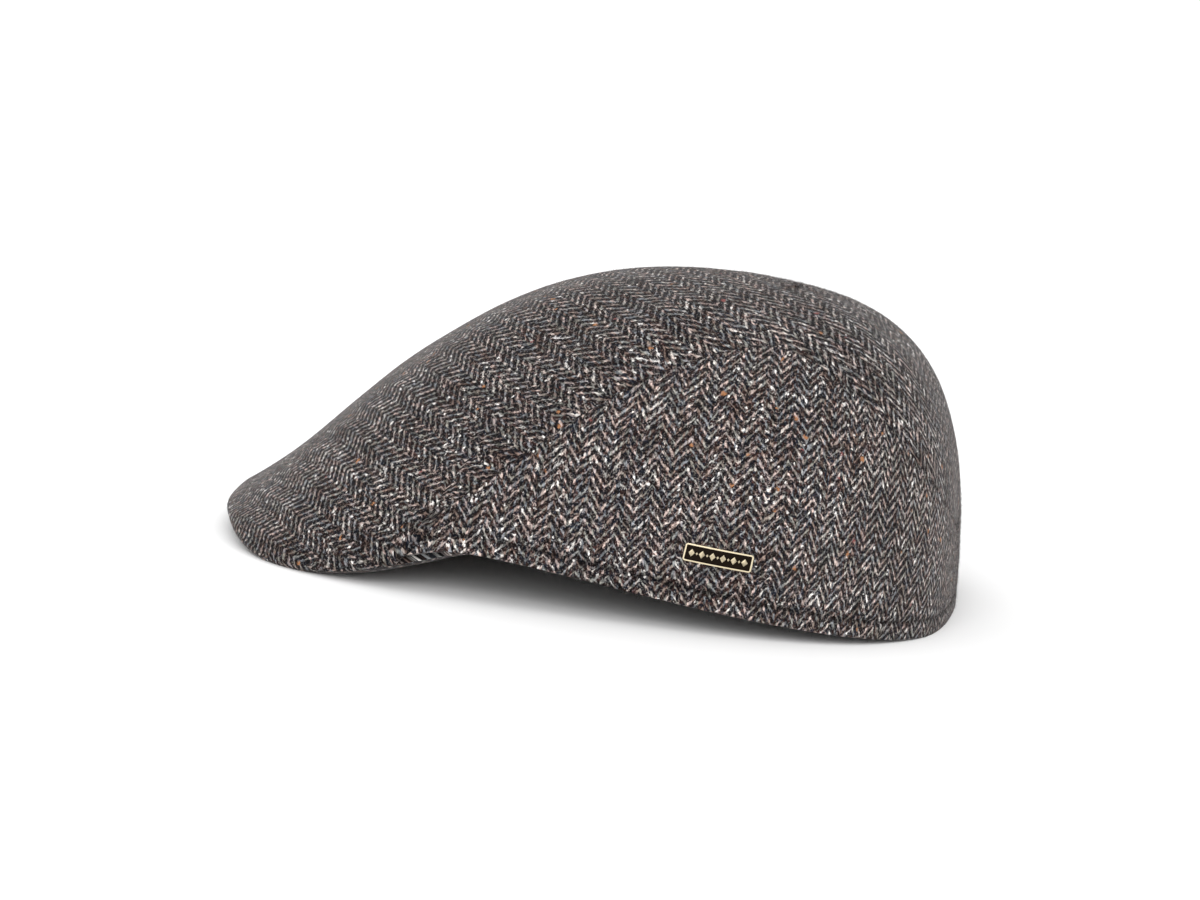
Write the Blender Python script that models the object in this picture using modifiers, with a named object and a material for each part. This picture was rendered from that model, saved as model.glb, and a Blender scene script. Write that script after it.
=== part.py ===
"""A herringbone tweed flat cap with a stiff peak, resting on a level surface, in metres with +Z up.

The cap is worked out in its own frame: its opening is level at z = 0, the peak points to -Y and the wearer's
left is +X. An empty then leans the whole cap until the peak's sides and the back of the rim meet the surface.

Every point of the outer skin has a bearing, its angle round the opening from the front, and a share, how far
it lies up the profile from the lower edge to the top of the crown.
"""

import math

import bmesh
import bpy
import numpy as np
from mathutils import Matrix, Vector

# The opening, measured outside the cloth
OPENING_LENGTH = 0.200
OPENING_WIDTH = 0.177
FRONT_SQUARENESS = 2.2
BACK_SQUARENESS = 2.8

# The crown
CROWN_HEIGHT = 0.098
CROWN_TOP_BACK = 0.021

# The peak: how far it stands past the opening, and how far its sides hang below the opening's plane
PEAK_REACH = 0.055
PEAK_DROP = 0.030
PEAK_THICKNESS = 0.0026
PEAK_LIP = 0.0012
PEAK_LEDGE = 0.0042
PEAK_SEAT = 0.0065
PEAK_TAIL_BEARING = 58.0
PEAK_TUCK = 9.0

# Cloth, hem and seams
CLOTH = 0.002
HEM_HEIGHT = 0.006
HEM_THICKNESS = 0.0032
HEM_STEP = 0.0008
SEAM_GAP = 0.0004
PRESSED_FLAT = 0.0008

# The side panels' front corners
CORNER_BEARING = 46.5
CORNER_TOP_BEARING = 48.0

# The badge, on the wearer's left
BADGE_LENGTH = 0.0225
BADGE_HEIGHT = 0.0064
BADGE_THICKNESS = 0.0011
BADGE_CORNER = 0.0009
BADGE_BORDER = 0.0007
BADGE_RECESS = 0.0005
BADGE_BEARING = 103.5
BADGE_RISE = 0.0185

# How finely each piece is divided
SEAM_STEPS = 30
PEAK_EDGE_STEPS = 12
CORNER_STEPS = 3
TOP_ROWS = 13
HEM_ROWS = 3
SIDE_ROWS = 8
PEAK_STEPS = 56
PEAK_ROWS = 5
BADGE_CUTS = 12

# One row for each section round the cap. Bearing is in degrees from the front. Reach is a share of PEAK_REACH
# and drop of PEAK_DROP. Lean is the wall's angle from upright at its foot, in degrees. Wall is the straight
# rise of the wall as a share of the height above its foot, and crown the level stretch at the top as a share
# of the way in to it.
SECTION_COLUMNS = ("bearing", "reach", "drop", "lean", "wall", "crown")
SECTIONS = (
    (0, 1.00, 0.64, 49, 0.44, 0.63),
    (15, 0.975, 0.65, 43, 0.47, 0.61),
    (30, 0.80, 0.72, 33, 0.51, 0.58),
    (42, 0.48, 0.42, 24, 0.53, 0.57),
    (50, 0.27, 0.13, 15, 0.54, 0.585),
    (58, 0.14, 0.03, 8, 0.56, 0.60),
    (75, 0.02, 0.00, 3, 0.60, 0.61),
    (100, 0.00, 0.00, -1, 0.62, 0.65),
    (125, 0.00, 0.00, 1, 0.62, 0.69),
    (150, 0.00, 0.00, 5, 0.59, 0.72),
    (180, 0.00, 0.00, 9, 0.56, 0.75),
)

# The seam between the top panel and a side panel: bearing in degrees and share of the profile
SEAM_COLUMNS = ("bearing", "share")
SEAM = (
    (48, 0.09),
    (53, 0.17),
    (60, 0.285),
    (69, 0.43),
    (79, 0.53),
    (91, 0.605),
    (104, 0.65),
    (117, 0.63),
    (130, 0.55),
    (141, 0.44),
    (154, 0.315),
    (180, 0.20),
)

# Colours are linear, roughness and metallic as the photo shows them
FINISHES = {
    "top_panel": ((0.135, 0.120, 0.116), 0.95, 0.0),
    "side_panel_left": ((0.128, 0.110, 0.106), 0.95, 0.0),
    "side_panel_right": ((0.128, 0.110, 0.106), 0.95, 0.0),
    "peak": ((0.110, 0.098, 0.095), 0.95, 0.0),
    "badge": ((0.36, 0.27, 0.13), 0.42, 1.0),
}


def clear_scene():
    for obj in list(bpy.data.objects):
        bpy.data.objects.remove(obj, do_unlink=True)


def smooth_through(places, values, level_start):
    """A cubic curve through the values, level at its end, as a function of the place."""
    x = np.array(places, float)
    y = np.array(values, float)
    step = np.diff(x)
    slope = np.diff(y) / step
    count = len(x)
    matrix = np.identity(count)
    right = np.zeros(count)
    for i in range(1, count - 1):
        matrix[i, i - 1 : i + 2] = step[i], 2 * (step[i - 1] + step[i]), step[i - 1]
        right[i] = 3 * (step[i] * slope[i - 1] + step[i - 1] * slope[i])
    if not level_start:
        matrix[0, :2] = 2, 1
        right[0] = 3 * slope[0]
    tangent = np.linalg.solve(matrix, right)

    def value(place):
        i = int(np.clip(np.searchsorted(x, place, side="right") - 1, 0, count - 2))
        t = (place - x[i]) / step[i]
        start = (1 + 2 * t) * (1 - t) ** 2 * y[i] + t * (1 - t) ** 2 * step[i] * tangent[i]
        end = t * t * (3 - 2 * t) * y[i + 1] + t * t * (t - 1) * step[i] * tangent[i + 1]
        return float(start + end)

    return value


def columns_of(names, rows, level_start):
    """Each column of a table as a smooth function of the first column."""
    listed = list(zip(*rows))
    named = zip(names[1:], listed[1:])
    return {name: smooth_through(listed[0], column, level_start) for name, column in named}


section = columns_of(SECTION_COLUMNS, SECTIONS, level_start=True)
seam_share = columns_of(SEAM_COLUMNS, SEAM, level_start=False)["share"]


def ease(value, start, end):
    """0 before start, 1 after end, smooth between."""
    t = min(max((value - start) / (end - start), 0.0), 1.0)
    return t * t * (3 - 2 * t)


def blend(a, b, t):
    return a + (b - a) * t


def spread(start, end, steps):
    return [blend(start, end, i / steps) for i in range(steps + 1)]


def opening_radius(bearing):
    """From the opening's middle to its outline, which is squarer behind than in front."""
    angle = math.radians(bearing)
    squareness = blend(FRONT_SQUARENESS, BACK_SQUARENESS, (1 - math.cos(angle)) / 2)
    across = abs(math.sin(angle)) / (OPENING_WIDTH / 2)
    along = abs(math.cos(angle)) / (OPENING_LENGTH / 2)
    return (across**squareness + along**squareness) ** (-1 / squareness)


def toward(bearing):
    angle = math.radians(bearing)
    return Vector((math.sin(angle), -math.cos(angle), 0))


def edge_point(bearing):
    """The skin's lower edge: the rim of the opening, and the outline of the peak in front of it."""
    side = abs(bearing)
    radius = opening_radius(bearing) + PEAK_REACH * section["reach"](side)
    return toward(bearing) * radius - Vector((0, 0, PEAK_DROP * section["drop"](side)))


def edge_outward(bearing):
    """Level, square to the lower edge, away from the cap."""
    step = 0.5
    along = edge_point(bearing + step) - edge_point(bearing - step)
    return Vector((along.y, -along.x, 0)).normalized()


def wall_rise(bearing):
    """Length of the wall's straight rise from the lower edge."""
    return section["wall"](abs(bearing)) * (CROWN_HEIGHT - edge_point(bearing).z)


def skin_point(bearing, share):
    """The outer skin: a curve from the lower edge up the wall and over to the top of the crown."""
    side = abs(bearing)
    foot = edge_point(bearing)
    top = Vector((0, CROWN_TOP_BACK, CROWN_HEIGHT))
    way_in = Vector((top.x - foot.x, top.y - foot.y, 0))
    lean = math.radians(section["lean"](side))
    rise = wall_rise(bearing)
    up_wall = way_in.normalized() * math.sin(lean) + Vector((0, 0, math.cos(lean)))
    shoulder = foot + up_wall * rise
    brow = top - way_in * section["crown"](side)
    back = 1 - share
    return (
        foot * back**3
        + shoulder * (3 * share * back**2)
        + brow * (3 * share**2 * back)
        + top * share**3
    )


def share_at_height(bearing, height):
    """The share that lies this far up the wall, close to its foot."""
    return height / (3 * wall_rise(bearing))


def skin_axes(bearing, share):
    """Along the edge towards the back, up the profile, and outward, each one long."""
    turn = 0.2
    climb = 0.002
    along = (skin_point(bearing + turn, share) - skin_point(bearing - turn, share)).normalized()
    up = (skin_point(bearing, share + climb) - skin_point(bearing, share - climb)).normalized()
    return along, up, along.cross(up).normalized()


def new_object(name, mesh, collection):
    obj = bpy.data.objects.new(name, mesh)
    collection.objects.link(obj)
    return obj


def sheet_mesh(name, strips, closed=False, pole=None):
    """An open sheet of four-sided faces between neighbouring strips of points, fanned to a pole if one is given."""
    mesh = bpy.data.meshes.new(name)
    bm = bmesh.new()
    lines = [[bm.verts.new(point) for point in strip] for strip in strips]
    pairs = list(zip(lines, lines[1:]))
    if closed:
        pairs.append((lines[-1], lines[0]))
    tip = bm.verts.new(pole) if pole else None
    for one, other in pairs:
        for i in range(len(one) - 1):
            bm.faces.new((one[i], other[i], other[i + 1], one[i + 1]))
        if tip:
            bm.faces.new((one[-1], other[-1], tip))
    bm.to_mesh(mesh)
    bm.free()
    mesh.shade_smooth()
    return mesh


def thicken(obj, thickness):
    """Turns the sheet into a wall that grows inward from the outer surface."""
    solid = obj.modifiers.new("wall", "SOLIDIFY")
    solid.thickness = thickness
    solid.offset = -1
    return solid


def rest_on(obj, surface):
    """Takes off what the resting surface presses flat."""
    cut = obj.modifiers.new("pressed_flat", "BOOLEAN")
    cut.operation = "DIFFERENCE"
    cut.solver = "EXACT"
    cut.object = surface


def seam_line():
    """Bearing and share along the left side panel's seam: up its front corner, then back over the cap."""
    corner = [
        (blend(CORNER_BEARING, CORNER_TOP_BEARING, t), blend(0, seam_share(CORNER_TOP_BEARING), t))
        for t in spread(0, 1, CORNER_STEPS)
    ]
    over = [(bearing, seam_share(bearing)) for bearing in spread(CORNER_TOP_BEARING, 180, SEAM_STEPS)]
    return corner + over[1:]


def beside_seam(line, distance):
    """Points on the skin along a line of bearings and shares, set aside from it towards the top panel."""
    points = [skin_point(*place) for place in line]
    moved = []
    for i, place in enumerate(line):
        outward = skin_axes(*place)[2]
        before = points[max(i - 1, 0)]
        after = points[min(i + 1, len(points) - 1)]
        moved.append(points[i] + outward.cross(after - before).normalized() * distance)
    return moved


def build_top_panel(collection):
    peak_edge = [(bearing, 0.0) for bearing in spread(0, CORNER_BEARING, PEAK_EDGE_STEPS)][:-1]
    seam = seam_line()
    feet = [skin_point(*place) for place in peak_edge] + beside_seam(seam, SEAM_GAP / 2)
    even_fan = spread(0, 180, len(feet) - 1)
    left = []
    for (bearing, start), foot, fanned in zip(peak_edge + seam, feet, even_fan):
        climb = spread(0, 1, TOP_ROWS)[1:-1]
        left.append([foot] + [skin_point(blend(bearing, fanned, t * t), blend(start, 1, t)) for t in climb])
    right = [mirrored(strip) for strip in reversed(left[1:-1])]
    mesh = sheet_mesh("top_panel", left + right, closed=True, pole=skin_point(0, 1))
    panel = new_object("top_panel", mesh, collection)
    thicken(panel, CLOTH)
    return panel


def mirrored(strip):
    return [Vector((-p.x, p.y, p.z)) for p in strip]


def side_strips():
    """Strips of the left side panel, each from the rim up to the seam."""
    seam = seam_line()
    strips = []
    for t, (bearing, end) in zip(spread(0, 1, SEAM_STEPS), seam[CORNER_STEPS:]):
        rim_bearing = blend(CORNER_BEARING, 180, t)
        hem_top = share_at_height(rim_bearing, HEM_HEIGHT)
        hem_past = share_at_height(rim_bearing, HEM_HEIGHT + HEM_STEP)
        shares = spread(0, hem_top, HEM_ROWS - 1) + spread(hem_past, end, SIDE_ROWS)
        strips.append([(blend(rim_bearing, bearing, share / end), share) for share in shares])
    upper = beside_seam(seam[CORNER_STEPS:], -SEAM_GAP / 2)
    front = beside_seam(strips[0], -2 * SEAM_GAP)
    points = [[skin_point(*place) for place in strip[:-1]] + [top] for strip, top in zip(strips, upper)]
    points[0] = front[:-1] + [front[-1] + upper[0] - skin_point(*seam[CORNER_STEPS])]
    points[-1] = [Vector((SEAM_GAP / 2, p.y, p.z)) for p in points[-1]]
    return points


def build_side_panel(name, mirror, collection, surface):
    strips = side_strips()
    if mirror:
        strips = [mirrored(strip) for strip in reversed(strips)]
    panel = new_object(name, sheet_mesh(name, strips), collection)
    rows = len(strips[0])
    hem = [i for i in range(len(panel.data.vertices)) if i % rows < HEM_ROWS]
    single = [i for i in range(len(panel.data.vertices)) if i % rows >= HEM_ROWS]
    folds = panel.vertex_groups.new(name="folds")
    folds.add(hem, 1.0, "REPLACE")
    folds.add(single, CLOTH / HEM_THICKNESS, "REPLACE")
    wall = thicken(panel, HEM_THICKNESS)
    wall.vertex_group = folds.name
    rest_on(panel, surface)
    return panel


def peak_strip(bearing):
    """Upper side of the peak from its outer edge in to the opening, at one bearing."""
    side = abs(bearing)
    lean = math.radians(section["lean"](side))
    tucked = ease(side, CORNER_BEARING - PEAK_TUCK, CORNER_BEARING + PEAK_TUCK / 3)
    raised = ease(side, CORNER_BEARING, PEAK_TAIL_BEARING)
    behind_hem = HEM_THICKNESS / math.cos(lean) + PEAK_THICKNESS * math.tan(lean) + 2 * SEAM_GAP
    under_skin = CLOTH * math.sin(lean) + 2 * SEAM_GAP
    edge = edge_point(bearing)
    outward = edge_outward(bearing)
    height = edge.z + blend(-under_skin, PEAK_THICKNESS, raised)
    outer = edge + outward * blend(PEAK_LIP, -behind_hem, tucked)
    outer.z = height
    inner = toward(bearing) * (opening_radius(bearing) - PEAK_SEAT)
    inner.z = PEAK_THICKNESS
    way_in = Vector((inner.x - outer.x, inner.y - outer.y, 0))
    ledge = outer + way_in.normalized() * blend(PEAK_LEDGE, way_in.length / PEAK_ROWS, tucked)
    return [outer] + [ledge.lerp(inner, t) for t in spread(0, 1, PEAK_ROWS)]


def build_peak(collection, surface):
    strips = [peak_strip(b) for b in spread(-PEAK_TAIL_BEARING, PEAK_TAIL_BEARING, PEAK_STEPS)]
    peak = new_object("peak", sheet_mesh("peak", strips), collection)
    thicken(peak, PEAK_THICKNESS)
    rest_on(peak, surface)
    return peak


def flat_badge():
    """A flat plate with rounded corners and a raised border: x along it, y up it, z out of it."""
    bm = bmesh.new()
    size = Matrix.Diagonal((BADGE_LENGTH, BADGE_HEIGHT, BADGE_THICKNESS, 1))
    bmesh.ops.create_cube(bm, size=1, matrix=Matrix.Translation((0, 0, BADGE_THICKNESS / 2)) @ size)
    upright = [e for e in bm.edges if abs(e.verts[0].co.z - e.verts[1].co.z) > BADGE_THICKNESS / 2]
    bmesh.ops.bevel(bm, geom=upright, offset=BADGE_CORNER, segments=4, profile=0.5, affect="EDGES")
    face = max(bm.faces, key=lambda f: f.calc_center_median().z)
    bmesh.ops.inset_region(bm, faces=[face], thickness=BADGE_BORDER)
    bmesh.ops.inset_region(bm, faces=[face], thickness=BADGE_BORDER / 10)
    bmesh.ops.translate(bm, verts=face.verts, vec=(0, 0, -BADGE_RECESS))
    for x in spread(-BADGE_LENGTH / 2, BADGE_LENGTH / 2, BADGE_CUTS)[1:-1]:
        everything = bm.verts[:] + bm.edges[:] + bm.faces[:]
        bmesh.ops.bisect_plane(bm, geom=everything, plane_co=(x, 0, 0), plane_no=(1, 0, 0))
    bmesh.ops.triangulate(bm, faces=bm.faces[:])
    return bm


def build_badge(collection):
    """The plate, laid on the left side panel so that it follows the cloth."""
    bm = flat_badge()
    middle_share = share_at_height(BADGE_BEARING, BADGE_RISE)
    middle = skin_point(BADGE_BEARING, middle_share)
    radius = math.hypot(middle.x, middle.y)
    for vert in bm.verts:
        bearing = BADGE_BEARING + math.degrees(vert.co.x / radius)
        share = share_at_height(bearing, BADGE_RISE + vert.co.y)
        outward = skin_axes(bearing, share)[2]
        vert.co = skin_point(bearing, share) + outward * (SEAM_GAP + vert.co.z)
    bmesh.ops.recalc_face_normals(bm, faces=bm.faces[:])
    mesh = bpy.data.meshes.new("badge")
    bm.to_mesh(mesh)
    bm.free()
    return new_object("badge", mesh, collection)


def resting_surface(collection):
    """The level surface that the cap stands on, as a block that presses the cloth flat."""
    bm = bmesh.new()
    size = 4 * OPENING_LENGTH
    bmesh.ops.create_cube(bm, size=size, matrix=Matrix.Translation((0, 0, -size / 2)))
    mesh = bpy.data.meshes.new("resting_surface")
    bm.to_mesh(mesh)
    bm.free()
    block = new_object("resting_surface", mesh, collection)
    block.display_type = "WIRE"
    block.hide_render = True
    return block


def underside_points():
    """The lowest line round the cap: the peak's lower outer edge, then the rim."""
    points = []
    for bearing in spread(0, PEAK_TAIL_BEARING, PEAK_STEPS):
        points.append(peak_strip(bearing)[0] - Vector((0, 0, PEAK_THICKNESS)))
    for bearing in spread(PEAK_TAIL_BEARING, 180, SEAM_STEPS):
        points.append(edge_point(bearing))
    return points


def resting_lean(points):
    """The turn about X that brings the front's and the back's lowest points level, found by halving."""
    front = [p for p in points if p.y < 0]
    back = [p for p in points if p.y >= 0]
    low, high = -math.pi / 4, math.pi / 4
    for _ in range(40):
        middle = (low + high) / 2
        turn = Matrix.Rotation(middle, 3, "X")
        if min((turn @ p).z for p in front) > min((turn @ p).z for p in back):
            low = middle
        else:
            high = middle
    return (low + high) / 2


def finish(obj):
    colour, roughness, metallic = FINISHES[obj.name]
    material = bpy.data.materials.new(obj.name)
    material.use_nodes = True
    shader = material.node_tree.nodes["Principled BSDF"]
    shader.inputs["Base Color"].default_value = (*colour, 1)
    shader.inputs["Roughness"].default_value = roughness
    shader.inputs["Metallic"].default_value = metallic
    material.diffuse_color = (*colour, 1)
    obj.data.materials.append(material)


def centre_over_origin(frame, pieces):
    """Moves the frame sideways until the cap's box is centred on the origin."""
    bpy.context.view_layer.update()
    graph = bpy.context.evaluated_depsgraph_get()
    points = []
    for piece in pieces:
        evaluated = piece.evaluated_get(graph)
        points += [evaluated.matrix_world @ vert.co for vert in evaluated.data.vertices]
    frame.location.x -= (min(p.x for p in points) + max(p.x for p in points)) / 2
    frame.location.y -= (min(p.y for p in points) + max(p.y for p in points)) / 2


def main():
    clear_scene()
    parts = bpy.data.collections.new("flat_cap")
    cutters = bpy.data.collections.new("cutters")
    bpy.context.scene.collection.children.link(parts)
    bpy.context.scene.collection.children.link(cutters)
    surface = resting_surface(cutters)

    frame = bpy.data.objects.new("cap_frame", None)
    parts.objects.link(frame)
    underside = underside_points()
    lean = resting_lean(underside)
    turn = Matrix.Rotation(lean, 3, "X")
    frame.rotation_euler.x = lean
    frame.location.z = -min((turn @ p).z for p in underside) - PRESSED_FLAT

    pieces = [
        build_top_panel(parts),
        build_side_panel("side_panel_left", False, parts, surface),
        build_side_panel("side_panel_right", True, parts, surface),
        build_peak(parts, surface),
        build_badge(parts),
    ]
    for piece in pieces:
        piece.parent = frame
        finish(piece)
    centre_over_origin(frame, pieces)


main()
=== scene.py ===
"""The looks of a herringbone tweed flat cap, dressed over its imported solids, in metres with +Z up.

The cap is worked out in its own frame, as its solids are: its opening is level at z = 0, the peak points
to -Y and the wearer's left is +X. Every point of the outer skin has a bearing, its angle round the opening
from the front, and a share, how far it lies up the profile from the lower edge to the top of the crown.
"""

import math

import bmesh
import bpy
import numpy as np
from bpy.props import FloatProperty, FloatVectorProperty, IntProperty, PointerProperty
from mathutils import Matrix, Vector, noise
from mathutils.kdtree import KDTree


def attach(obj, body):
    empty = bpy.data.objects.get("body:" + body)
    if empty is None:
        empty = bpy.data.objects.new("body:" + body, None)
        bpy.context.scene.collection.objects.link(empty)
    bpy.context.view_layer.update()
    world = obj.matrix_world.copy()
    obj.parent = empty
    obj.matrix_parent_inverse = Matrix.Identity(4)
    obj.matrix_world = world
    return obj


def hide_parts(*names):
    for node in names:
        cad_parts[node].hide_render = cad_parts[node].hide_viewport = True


bl_info = {
    "name": "Tweed flat cap",
    "version": (1, 0, 0),
    "blender": (4, 5, 0),
    "location": "3D View > Sidebar > Flat cap",
    "description": "Dresses a flat cap in herringbone tweed, with its seams, hem, peak and badge",
    "category": "Object",
}

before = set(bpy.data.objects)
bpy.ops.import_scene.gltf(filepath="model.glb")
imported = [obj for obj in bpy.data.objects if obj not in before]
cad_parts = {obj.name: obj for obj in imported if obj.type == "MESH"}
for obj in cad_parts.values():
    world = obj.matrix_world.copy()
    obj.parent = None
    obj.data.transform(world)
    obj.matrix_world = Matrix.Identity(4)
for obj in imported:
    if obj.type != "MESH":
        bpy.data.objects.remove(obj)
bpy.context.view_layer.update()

# The opening, the crown and the peak, as in the solids
OPENING_LENGTH = 0.200
OPENING_WIDTH = 0.177
FRONT_SQUARENESS = 2.2
BACK_SQUARENESS = 2.8
CROWN_HEIGHT = 0.098
CROWN_TOP_BACK = 0.021
PEAK_REACH = 0.055
PEAK_DROP = 0.030
PEAK_THICKNESS = 0.0026
PEAK_LIP = -0.0022
PEAK_SEAT = 0.0065
PEAK_TAIL_BEARING = 58.0
CORNER_BEARING = 46.5
CORNER_TOP_BEARING = 48.0
CLOTH = 0.002
HEM_HEIGHT = 0.006
HEM_THICKNESS = 0.0032

# How the cap leans on the surface, and where its own frame then lies
CAP_LEAN = -6.606
CAP_PLACE = (-0.0004, 0.0293, 0.0107)

# How finely each piece and its flat cloth are divided
TOP_COLUMNS_FRONT = 56
TOP_COLUMNS_CORNER = 6
TOP_COLUMNS_SEAM = 160
TOP_ROWS = 56
SIDE_COLUMNS = 190
SIDE_ROWS = 46
PEAK_COLUMNS = 200
PEAK_ROWS = 26
PEAK_LIP_ROWS = 4
LAY_COLUMNS = 130
LAY_ROWS = 18
SHORTEST_STEP = 1e-7
SMALL_TURN = 0.2
SMALL_SHARE = 0.002
EDGE_TURN = 0.5
ROUNDING_STEPS = 3
ROUNDING_ANGLE = 50.0

# How the top panel's cloth turns in at its edge: each roll's radius and its angle
TURN_ROWS = 8
TURNED_SHARE = 0.35
SEAM_ROLL = 0.0007
SEAM_TURN = 90.0
PEAK_ROLL = 0.0026
PEAK_TURN = 125.0
PEAK_TURN_FADE = 2.0
PEAK_TURN_PLAY = 0.0001
LEAST_RISE = 0.3

# How the peak's board lies under the top panel and, tucked in, behind the hems
SEAM_GAP = 0.0004
PEAK_TUCK = 12.0
PEAK_LEDGE = 0.0042
TUCKED_LEDGE = 0.2
PEAK_ROUNDING = 0.0011

# Heights of the side panels' rows near the rim, close together where the hem is stitched
HEM_ROWS = (0, 0.0012, 0.0024, 0.0036, 0.0045, 0.0052, 0.0057, 0.006, 0.0063, 0.0068, 0.0076, 0.0088)
HEM_FOLD_ROWS = 7
GROOVE_DEPTH = 0.0006
GROOVE_WIDTH = 0.0007
SIDE_ROUNDING = 0.0007
# Width of the painted shade line along the seams
SEAM_LINE = 0.0009

# The cloth's soft unevenness, and the loose fibres of its nap
WAVE_SIZE = 0.03
WAVE_DEPTH = 0.0006
WAVE_SEED = 3
PEAK_WAVE_DEPTH = 0.0002
PEAK_WAVE_SEED = 9
NAP_LENGTH = 0.0011
NAP_WIDTH = 0.00006
NAP_SHORTEST = 0.5
NAP_LIFT = (0.15, 0.9)
NAP_BEND = 0.4
TOP_NAP = 20000
TOP_NAP_SEED = 31
SIDE_NAP = 16000

# How far along and across the bolt each piece is cut from
TOP_CUT_FROM = 0.37
SIDE_CUT_FROM = 0.11
PEAK_CUT_FROM = 0.73

# Columns: side panel, its side, its nap's seed
SIDES = (
    ("side_panel_left", 1, 41),
    ("side_panel_right", -1, 43),
)

# Painted shade that darkens each piece, its seams and its hem's groove, and painted light beside the top
# panel's seam
TOP_PAINTED_SHADE = 0.76
PEAK_PAINTED_SHADE = 0.8
SEAM_PAINTED_SHADE = 0.35
GROOVE_PAINTED_SHADE = 0.55
SEAM_PAINTED_LIGHT = 0.13
SEAM_PAINTED_LIGHT_WIDTH = 0.025

# Angles of the weave's columns, and the share of the cloth's length or width that is left where it has shrunk
BIAS = 61.0
BIAS_TURN = 40.0
BIAS_TURN_BACK = 20.0
SIDE_LEAN = 8.0
SIDE_LEAN_MIDDLE = -0.005
SIDE_LEAN_WIDTH = 0.04
FRONT_LENGTH_LEFT = 0.62
BACK_WIDTH_LEFT = 0.72

# Where each change along the cap starts and ends, from front to back
# The first pair: where the painted light beside the top panel's seam fades in
SEAM_PAINTED_LIGHT_START = (-0.07, -0.04)
BIAS_BACK = (-0.08, 0.02)
SIDE_LEAN_BACK = (0.035, 0.075)
FRONT_SHRUNK = (-0.095, 0.025)
BACK_SHRUNK = (0.025, 0.06)

# The badge's plate: roundings, border, and how deep its field lies
BADGE_CORNER = 0.0009
BADGE_EDGE = 0.00016
BADGE_BORDER = 0.00036
BADGE_BORDER_WALL = 0.00012
BADGE_RECESS = 0.0005
BADGE_LIFT = 0.0003
BADGE_SHARE = 0.1
BADGE_CUTS = 40

# Its row of lozenges, every other one small
LOZENGES = 11
LOZENGE_ROW_MARGIN = 0.0034
LOZENGE_WIDTH = 0.72
LOZENGE_HEIGHT = 0.27
SMALL_LOZENGE = 0.42

# Columns: share of the lozenge's size, rise over the field, how rubbed it is
LOZENGE_RINGS = (
    (1.0, -0.00005, 0.2),
    (0.8, 0.00032, 0.6),
    (0.45, 0.00042, 0.6),
)

# The camera, in the cap's own frame: PIXEL_SIZE is what one pixel of a frame FRAME_WIDTH wide covers there
CAMERA_ELEVATION = 13.0
CAMERA_YAW = 4.0
CAMERA_ROLL = 13.2
PIXEL_SIZE = 0.00035
FRAME_WIDTH = 1200
OFF_MIDDLE = (74.9, 91.3)
SENSOR_WIDTH = 36
FAR_END = 100

# The floor, and lamps that all point at the cap's middle
FLOOR_SIZE = 40
FLOOR_ROUGHNESS = 0.9
LAMPS_AIM = (0, 0, 0.05)

# Columns: name, place, size, share of the main lamp's power
LAMPS = (
    ("key", (1.7, -0.1, 1.0), 1.2, 1.0),
    ("fill", (-1.4, -1.0, 1.2), 1.4, 0.35),
    ("top", (0.2, 0.2, 1.8), 1.6, 0.15),
)

# The weave: each light stroke floats over four picks, and every nine picks a yarn slips a little
PICKS_IN_STROKE = 4
PICKS_IN_SLIP = 9
SLIP = 0.26

# Columns: place among the yarns from 0 to 1, then red, green and blue as on a screen
LIGHT_YARNS = (
    (0.0, 104, 88, 86),
    (0.2, 150, 128, 118),
    (0.36, 160, 158, 150),
    (0.5, 132, 136, 142),
    (0.64, 184, 162, 154),
    (0.8, 192, 188, 182),
    (1.0, 242, 238, 238),
)
DARK_YARNS = (
    (0.0, 18, 14, 16),
    (0.25, 36, 28, 30),
    (0.42, 20, 26, 38),
    (0.58, 30, 26, 24),
    (0.74, 58, 38, 36),
    (0.88, 20, 18, 20),
    (1.0, 64, 54, 58),
)

# Neps, the small knots of coloured wool. Columns: colour, density, size, share of the places that have one
NEP_CELL = 0.0012
NEP_RAGGED = 0.0016
NEPS = (
    ((236, 232, 228), 0.47, 0.20, 0.09),
    ((168, 118, 82), 0.33, 0.24, 0.02),
    ((132, 78, 76), 0.3, 0.2, 0.01),
)

SECTION_COLUMNS = ("bearing", "reach", "drop", "lean", "wall", "crown")
SECTIONS = (
    (0, 1.00, 0.64, 49, 0.44, 0.63),
    (15, 0.975, 0.65, 43, 0.47, 0.61),
    (30, 0.80, 0.72, 33, 0.51, 0.58),
    (42, 0.48, 0.42, 24, 0.53, 0.57),
    (50, 0.27, 0.13, 15, 0.54, 0.585),
    (58, 0.14, 0.03, 8, 0.56, 0.60),
    (75, 0.02, 0.00, 3, 0.60, 0.61),
    (100, 0.00, 0.00, -1, 0.62, 0.65),
    (125, 0.00, 0.00, 1, 0.62, 0.69),
    (150, 0.00, 0.00, 5, 0.59, 0.72),
    (180, 0.00, 0.00, 9, 0.56, 0.75),
)
SEAM_COLUMNS = ("bearing", "share")
SEAM = (
    (48, 0.09),
    (53, 0.17),
    (60, 0.285),
    (69, 0.43),
    (79, 0.53),
    (91, 0.605),
    (104, 0.65),
    (117, 0.63),
    (130, 0.55),
    (141, 0.44),
    (154, 0.315),
    (180, 0.20),
)


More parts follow.
